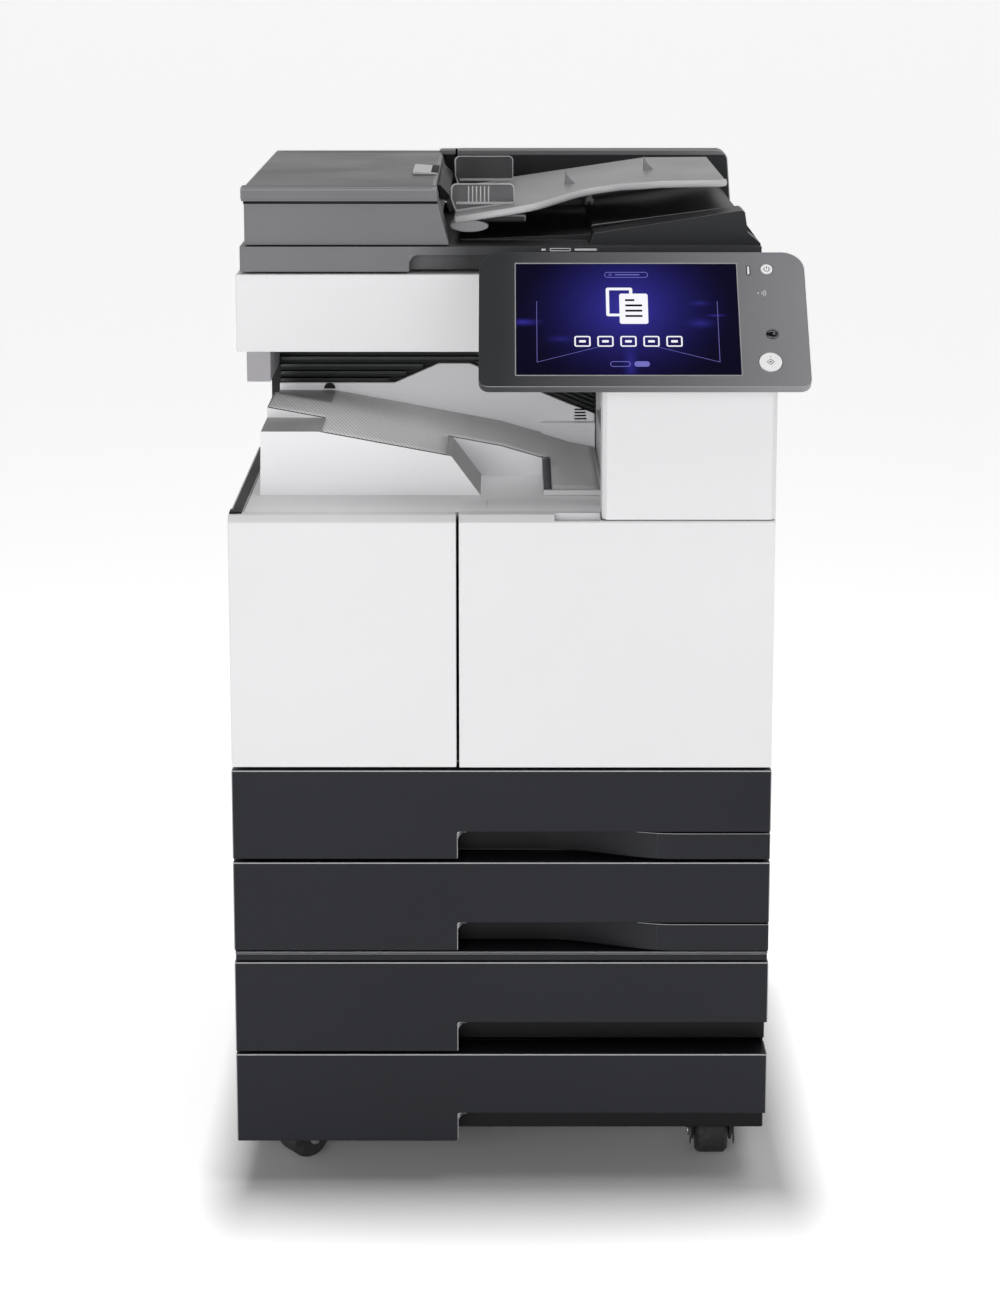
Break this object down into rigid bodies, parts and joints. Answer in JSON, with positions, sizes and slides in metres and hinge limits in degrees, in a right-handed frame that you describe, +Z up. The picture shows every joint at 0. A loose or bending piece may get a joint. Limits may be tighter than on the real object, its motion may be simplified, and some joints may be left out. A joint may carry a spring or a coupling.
{
  "type": "photocopier",
  "caption": "Office photocopier in tower form with document feeder, scanner, tilting touch panel, front doors and paper drawers on casters.",
  "frame": {"origin": "middle of the footprint's bounding box, on the floor under the casters", "axes": "+X to the operator's right, +Y to the back of the machine, +Z up"},
  "size_m": [0.6112, 0.713, 1.089],
  "materials": {
    "white_plastic": "fine-grained moulded plastic, satin",
    "grey_plastic": "light grey moulded plastic, satin",
    "charcoal_plastic": "charcoal moulded plastic, satin",
    "frame_finish": "painted frame with moulded side skin, satin",
    "feeder_plastic": "dark grey moulded plastic, satin",
    "tray_plastic": "warm grey moulded plastic, satin",
    "smoked_plastic": "dark smoked plastic, glossy",
    "panel_plastic": "dark grey moulded plastic, satin",
    "button_plastic": "white plastic, semi-gloss",
    "black_plastic": "black moulded plastic",
    "screen_glass": "black-backed cover glass, polished",
    "platen_glass": "clear float glass, polished",
    "steel": "galvanised sheet steel",
    "caster_plastic": "black nylon",
    "rubber": "matt black rubber",
    "drum_coating": "blue-green photoconductor coating, polished",
    "mat_white": "white film over foam"
  },
  "bodies": {
    "main_body": {"cabinet_shell": "charcoal_plastic", "main_frame": "frame_finish", "left_side_cover": "white_plastic", "rear_cover": "white_plastic", "mains_inlet": "black_plastic", "left_front_cover": "white_plastic", "pillar_cover": "white_plastic", "exit_housing": "grey_plastic", "rear_column": "black_plastic", "output_tray": "grey_plastic", "output_rear_wall": "grey_plastic", "scanner_base": "white_plastic", "scanner_front_cover": "white_plastic", "platen_glass": "platen_glass", "laser_unit": "black_plastic", "power_supply": "steel", "drive_motor": "steel"},
    "drawer_1": {"drawer_1_front": "charcoal_plastic", "drawer_1_paper_tray": "grey_plastic", "drawer_1_handle_insert": "charcoal_plastic"},
    "drawer_1_lift_plate": {"drawer_1_lift_plate": "steel"},
    "drawer_2": {"drawer_2_front": "charcoal_plastic", "drawer_2_paper_tray": "grey_plastic", "drawer_2_handle_insert": "charcoal_plastic"},
    "drawer_2_lift_plate": {"drawer_2_lift_plate": "steel"},
    "drawer_3": {"drawer_3_front": "charcoal_plastic", "drawer_3_paper_tray": "grey_plastic"},
    "drawer_3_lift_plate": {"drawer_3_lift_plate": "steel"},
    "drawer_4": {"drawer_4_front": "charcoal_plastic", "drawer_4_paper_tray": "grey_plastic"},
    "drawer_4_lift_plate": {"drawer_4_lift_plate": "steel"},
    "caster_fork_front_left": {"caster_fork_front_left": "caster_plastic"},
    "caster_wheel_front_left": {"caster_wheel_front_left": "rubber"},
    "caster_fork_front_right": {"caster_fork_front_right": "caster_plastic"},
    "caster_wheel_front_right": {"caster_wheel_front_right": "rubber"},
    "caster_fork_rear_left": {"caster_fork_rear_left": "caster_plastic"},
    "caster_wheel_rear_left": {"caster_wheel_rear_left": "rubber"},
    "caster_fork_rear_right": {"caster_fork_rear_right": "caster_plastic"},
    "caster_wheel_rear_right": {"caster_wheel_rear_right": "rubber"},
    "front_door": {"right_front_door": "white_plastic"},
    "side_door": {"side_door": "white_plastic"},
    "bypass_tray": {"bypass_tray": "white_plastic"},
    "fuser_roller": {"fuser_roller": "rubber"},
    "photo_drum": {"photo_drum": "drum_coating"},
    "toner_bottle": {"toner_bottle": "black_plastic"},
    "exit_roller": {"exit_roller": "rubber"},
    "scan_carriage": {"scan_carriage": "black_plastic"},
    "feeder": {"feeder_base": "feeder_plastic", "feeder_rear_housing": "feeder_plastic", "platen_mat": "mat_white"},
    "feeder_cover": {"feeder_top_cover": "feeder_plastic"},
    "cover_latch": {"cover_latch_lever": "grey_plastic"},
    "input_tray": {"feeder_input_tray": "tray_plastic"},
    "front_guide": {"front_document_guide": "smoked_plastic"},
    "rear_guide": {"rear_document_guide": "smoked_plastic"},
    "pickup_roller": {"feeder_pickup_roller": "rubber"},
    "operator_panel": {"panel_case": "panel_plastic", "touch_screen": "screen_glass"},
    "power_button": {"power_button": "button_plastic"},
    "start_button": {"start_button": "button_plastic"}
  },
  "joints": [
    {"name": "drawer_1_slide", "type": "slide", "parent": "main_body", "child": "drawer_1", "axis": [0, -1, 0], "range_m": [0, 0.4]},
    {"name": "drawer_1_lift", "type": "hinge", "parent": "drawer_1", "child": "drawer_1_lift_plate", "pos_m": [-0.22155, -0.074, 0.3832], "axis": [0, -1, 0], "range_deg": [0, 7]},
    {"name": "drawer_2_slide", "type": "slide", "parent": "main_body", "child": "drawer_2", "axis": [0, -1, 0], "range_m": [0, 0.4]},
    {"name": "drawer_2_lift", "type": "hinge", "parent": "drawer_2", "child": "drawer_2_lift_plate", "pos_m": [-0.22155, -0.074, 0.2802], "axis": [0, -1, 0], "range_deg": [0, 7]},
    {"name": "drawer_3_slide", "type": "slide", "parent": "main_body", "child": "drawer_3", "axis": [0, -1, 0], "range_m": [0, 0.4]},
    {"name": "drawer_3_lift", "type": "hinge", "parent": "drawer_3", "child": "drawer_3_lift_plate", "pos_m": [-0.22155, -0.074, 0.1642], "axis": [0, -1, 0], "range_deg": [0, 7]},
    {"name": "drawer_4_slide", "type": "slide", "parent": "main_body", "child": "drawer_4", "axis": [0, -1, 0], "range_m": [0, 0.4]},
    {"name": "drawer_4_lift", "type": "hinge", "parent": "drawer_4", "child": "drawer_4_lift_plate", "pos_m": [-0.22155, -0.074, 0.0732], "axis": [0, -1, 0], "range_deg": [0, 7]},
    {"name": "caster_swivel_front_left", "type": "hinge", "parent": "main_body", "child": "caster_fork_front_left", "pos_m": [-0.25155, -0.2295, 0.06], "axis": [0, 0, 1], "continuous": true},
    {"name": "caster_roll_front_left", "type": "hinge", "parent": "caster_fork_front_left", "child": "caster_wheel_front_left", "pos_m": [-0.23844, -0.22032, 0.025], "axis": [0.5736, -0.8191, 0], "continuous": true},
    {"name": "caster_swivel_front_right", "type": "hinge", "parent": "main_body", "child": "caster_fork_front_right", "pos_m": [0.22045, -0.2295, 0.06], "axis": [0, 0, 1], "continuous": true},
    {"name": "caster_roll_front_right", "type": "hinge", "parent": "caster_fork_front_right", "child": "caster_wheel_front_right", "pos_m": [0.22045, -0.2135, 0.025], "axis": [1, 0, 0], "continuous": true},
    {"name": "caster_swivel_rear_left", "type": "hinge", "parent": "main_body", "child": "caster_fork_rear_left", "pos_m": [-0.25155, 0.2735, 0.06], "axis": [0, 0, 1], "continuous": true},
    {"name": "caster_roll_rear_left", "type": "hinge", "parent": "caster_fork_rear_left", "child": "caster_wheel_rear_left", "pos_m": [-0.25155, 0.2895, 0.025], "axis": [1, 0, 0], "continuous": true},
    {"name": "caster_swivel_rear_right", "type": "hinge", "parent": "main_body", "child": "caster_fork_rear_right", "pos_m": [0.22045, 0.2735, 0.06], "axis": [0, 0, 1], "continuous": true},
    {"name": "caster_roll_rear_right", "type": "hinge", "parent": "caster_fork_rear_right", "child": "caster_wheel_rear_right", "pos_m": [0.22045, 0.2895, 0.025], "axis": [1, 0, 0], "continuous": true},
    {"name": "front_door_hinge", "type": "hinge", "parent": "main_body", "child": "front_door", "pos_m": [0.10545, -0.3075, 0.48], "axis": [1, 0, 0], "range_deg": [0, 88]},
    {"name": "side_door_hinge", "type": "hinge", "parent": "main_body", "child": "side_door", "pos_m": [0.27395, 0.2915, 0.612], "axis": [0, 0, 1], "range_deg": [0, 75]},
    {"name": "bypass_tray_hinge", "type": "hinge", "parent": "side_door", "child": "bypass_tray", "pos_m": [0.27195, 0.0385, 0.5225], "axis": [0, 1, 0], "range_deg": [0, 80]},
    {"name": "fuser_roller_spin", "type": "hinge", "parent": "main_body", "child": "fuser_roller", "pos_m": [0.19845, -0.0315, 0.668], "axis": [0, 1, 0], "continuous": true},
    {"name": "photo_drum_spin", "type": "hinge", "parent": "main_body", "child": "photo_drum", "pos_m": [0.09645, -0.0315, 0.612], "axis": [0, 1, 0], "continuous": true},
    {"name": "toner_bottle_spin", "type": "hinge", "parent": "main_body", "child": "toner_bottle", "pos_m": [0.02445, -0.0315, 0.69], "axis": [0, 1, 0], "continuous": true},
    {"name": "exit_roller_spin", "type": "hinge", "parent": "main_body", "child": "exit_roller", "pos_m": [0.11245, -0.0315, 0.808], "axis": [0, 1, 0], "continuous": true},
    {"name": "scan_carriage_slide", "type": "slide", "parent": "main_body", "child": "scan_carriage", "axis": [1, 0, 0], "range_m": [0, 0.42]},
    {"name": "feeder_lid_hinge", "type": "hinge", "parent": "main_body", "child": "feeder", "pos_m": [-0.01555, 0.3455, 0.996], "axis": [-1, 0, 0], "range_deg": [0, 60]},
    {"name": "feeder_cover_hinge", "type": "hinge", "parent": "feeder", "child": "feeder_cover", "pos_m": [-0.29355, 0.0815, 1.028], "axis": [0, -1, 0], "range_deg": [0, 80]},
    {"name": "cover_latch_hinge", "type": "hinge", "parent": "feeder_cover", "child": "cover_latch", "pos_m": [-0.11555, 0.0315, 1.086], "axis": [0, -1, 0], "range_deg": [0, 20], "stiffness_Nm_per_rad": 0.2},
    {"name": "input_tray_hinge", "type": "hinge", "parent": "feeder", "child": "input_tray", "pos_m": [-0.06155, 0.0485, 1.043], "axis": [0, -1, 0], "range_deg": [0, 20]},
    {"name": "front_guide_slide", "type": "slide", "parent": "input_tray", "child": "front_guide", "axis": [0, 1, 0], "range_m": [0, 0.08]},
    {"name": "rear_guide_slide", "type": "slide", "parent": "input_tray", "child": "rear_guide", "axis": [0, -1, 0], "range_m": [0, 0.08]},
    {"name": "pickup_roller_spin", "type": "hinge", "parent": "feeder", "child": "pickup_roller", "pos_m": [-0.12755, 0.0525, 1.048], "axis": [0, 1, 0], "continuous": true},
    {"name": "panel_tilt", "type": "hinge", "parent": "main_body", "child": "operator_panel", "pos_m": [0.13305, -0.27589, 0.91308], "axis": [1, 0, 0], "range_deg": [-22, 12]},
    {"name": "power_button_press", "type": "slide", "parent": "operator_panel", "child": "power_button", "axis": [0, 0.7071, -0.7071], "range_m": [0, 0.001], "stiffness_N_per_m": 300},
    {"name": "start_button_press", "type": "slide", "parent": "operator_panel", "child": "start_button", "axis": [0, 0.7071, -0.7071], "range_m": [0, 0.001], "stiffness_N_per_m": 300}
  ],
  "couplings": [
    {"joint": "photo_drum_spin", "follows": "fuser_roller_spin", "ratio": -1.1333},
    {"joint": "rear_guide_slide", "follows": "front_guide_slide", "ratio": 1}
  ]
}
